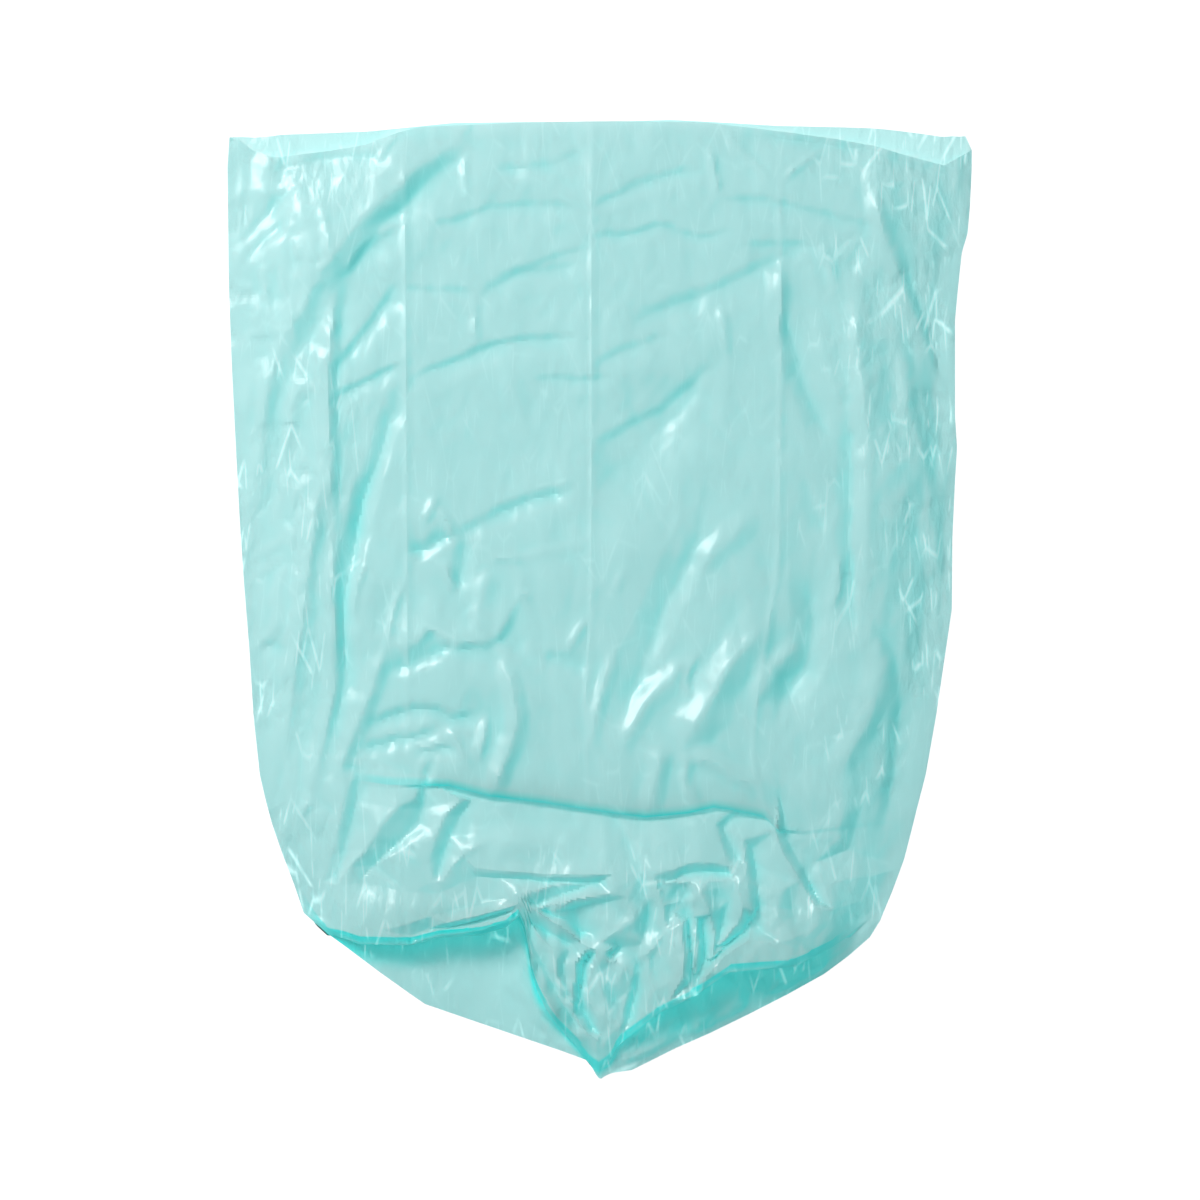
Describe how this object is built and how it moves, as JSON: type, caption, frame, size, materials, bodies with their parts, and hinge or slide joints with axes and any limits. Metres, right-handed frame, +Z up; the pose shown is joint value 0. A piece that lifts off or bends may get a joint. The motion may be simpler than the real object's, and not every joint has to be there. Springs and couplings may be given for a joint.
{
  "type": "trash can liner",
  "caption": "Translucent plastic film trash can liner, opened out and laid flat, with an open mouth and a gathered, star-sealed bottom.",
  "frame": {"origin": "on the surface the liner lies on, under the middle of its outline", "axes": "+Y along the liner to its open mouth, +X to the right as seen from above with the mouth away from the viewer, +Z up"},
  "size_m": [0.6105, 0.7879, 0.0298],
  "materials": {
    "film": "translucent pale blue-green polyethylene film with a soft gloss"
  },
  "bodies": {
    "root": {"liner_film": "film"}
  },
  "joints": []
}
